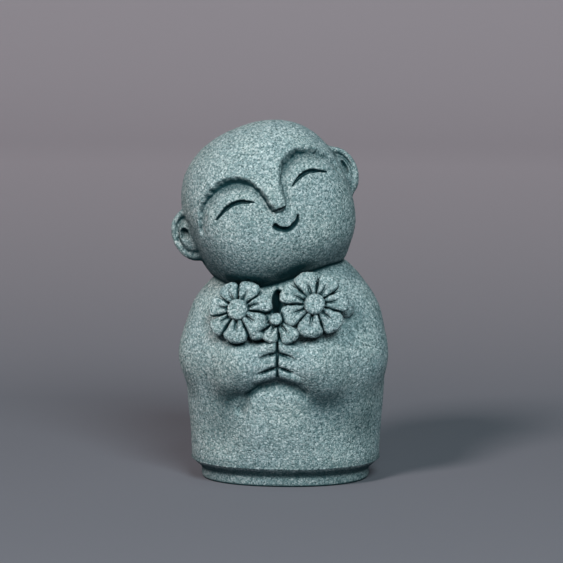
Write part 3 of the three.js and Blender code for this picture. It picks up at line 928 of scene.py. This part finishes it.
CAMERA = dict(
    azimuth=5.0, elevation=8.0, distance=1.6, view_width=0.1892, aim_right=-0.00134, aim_up=0.0649,
)
LIGHTS = [
    ("key", -30, 40, 2.0, 0.5, 27, (1, 0.93, 0.9)),
    ("front", 20, 36, 2.0, 0.9, 26, (0.82, 1, 1.02)),
]
LIGHTS_AIM = (0, 0, 0.06)
SKY = dict(colour=(0.3, 0.85, 0.95, 1), strength=0.045)
# The floor's tones, each with how far back it lies: painted light that makes the floor darker near the figure
# and lighter towards and up the backdrop
FLOOR_NEAR = (0.15, (0.16, 0.16, 0.187, 1))
FLOOR_FAR = (0.9, (0.56, 0.485, 0.53, 1))


def view_axes():
    """The camera's right, up and backward directions."""
    a, e = math.radians(CAMERA["azimuth"]), math.radians(CAMERA["elevation"])
    right = Vector((math.cos(a), math.sin(a), 0))
    back = Vector((math.sin(a) * math.cos(e), -math.cos(a) * math.cos(e), math.sin(e)))
    return right, back.cross(right), back


def make_camera():
    right, up, back = view_axes()
    data = bpy.data.cameras.new("camera")
    data.angle = 2 * math.atan(CAMERA["view_width"] / 2 / CAMERA["distance"])
    data.clip_end = 20
    camera = bpy.data.objects.new("camera", data)
    aim = right * CAMERA["aim_right"] + up * CAMERA["aim_up"]
    camera.matrix_world = Matrix((right, up, back)).transposed().to_4x4()
    camera.location = aim + back * CAMERA["distance"]
    bpy.context.scene.collection.objects.link(camera)
    bpy.context.scene.camera = camera


def make_light(name, azimuth, elevation, distance, size, power, colour):
    """A round soft light, placed by angles: azimuth 0 is in front, and right is positive."""
    a, e = math.radians(azimuth), math.radians(elevation)
    direction = Vector((math.sin(a) * math.cos(e), -math.cos(a) * math.cos(e), math.sin(e)))
    data = bpy.data.lights.new(name, "AREA")
    data.shape = "DISK"
    data.size = size
    data.energy = power
    data.color = colour
    light = bpy.data.objects.new(name, data)
    light.location = Vector(LIGHTS_AIM) + direction * distance
    light.rotation_euler = direction.to_track_quat("Z", "Y").to_euler()
    bpy.context.scene.collection.objects.link(light)


def make_floor():
    """A pale floor that curves up into a backdrop, with light painted into its colour towards the back."""
    reach, back, radius, width, height = 2.0, 1.6, 0.6, 4.0, 2.5
    profile = [(-reach, 0.0), (back - radius, 0.0)]
    profile += [
        (back - radius + radius * math.sin(t), radius * (1 - math.cos(t)))
        for t in np.radians(np.linspace(7.5, 90, 12))
    ]
    profile.append((back, height))
    vertices = [(x, y, z) for y, z in profile for x in (-width, width)]
    faces = [(i, i + 1, i + 3, i + 2) for i in range(0, len(vertices) - 2, 2)]
    mesh = bpy.data.meshes.new("floor")
    mesh.from_pydata(vertices, [], faces)
    mesh.shade_smooth()
    floor = bpy.data.objects.new("floor", mesh)
    bpy.context.scene.collection.objects.link(floor)
    material = bpy.data.materials.new("floor")
    material.use_nodes = True
    nodes, links = material.node_tree.nodes, material.node_tree.links
    place = nodes.new("ShaderNodeTexCoord").outputs["Object"]
    parts = nodes.new("ShaderNodeSeparateXYZ")
    links.new(place, parts.inputs["Vector"])
    away = nodes.new("ShaderNodeMapRange")
    away.inputs["From Min"].default_value = FLOOR_NEAR[0]
    away.inputs["From Max"].default_value = FLOOR_FAR[0]
    links.new(parts.outputs["Y"], away.inputs["Value"])
    blend = nodes.new("ShaderNodeMix")
    blend.data_type = "RGBA"
    blend.inputs[6].default_value = FLOOR_NEAR[1]
    blend.inputs[7].default_value = FLOOR_FAR[1]
    links.new(away.outputs["Result"], blend.inputs["Factor"])
    shader = nodes["Principled BSDF"]
    links.new(blend.outputs[2], shader.inputs["Base Color"])
    shader.inputs["Roughness"].default_value = 0.9
    mesh.materials.append(material)


def make_stage():
    make_floor()
    for light in LIGHTS:
        make_light(*light)
    world = bpy.data.worlds.new("studio")
    world.use_nodes = True
    background = world.node_tree.nodes["Background"]
    background.inputs["Color"].default_value = SKY["colour"]
    background.inputs["Strength"].default_value = SKY["strength"]
    scene = bpy.context.scene
    scene.world = world
    scene.view_settings.view_transform = "Standard"


make_camera()
make_stage()
stone = stone_material()
for piece in make_statue():
    piece.data.materials.append(stone)
    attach(piece, "root")
    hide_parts("statue")
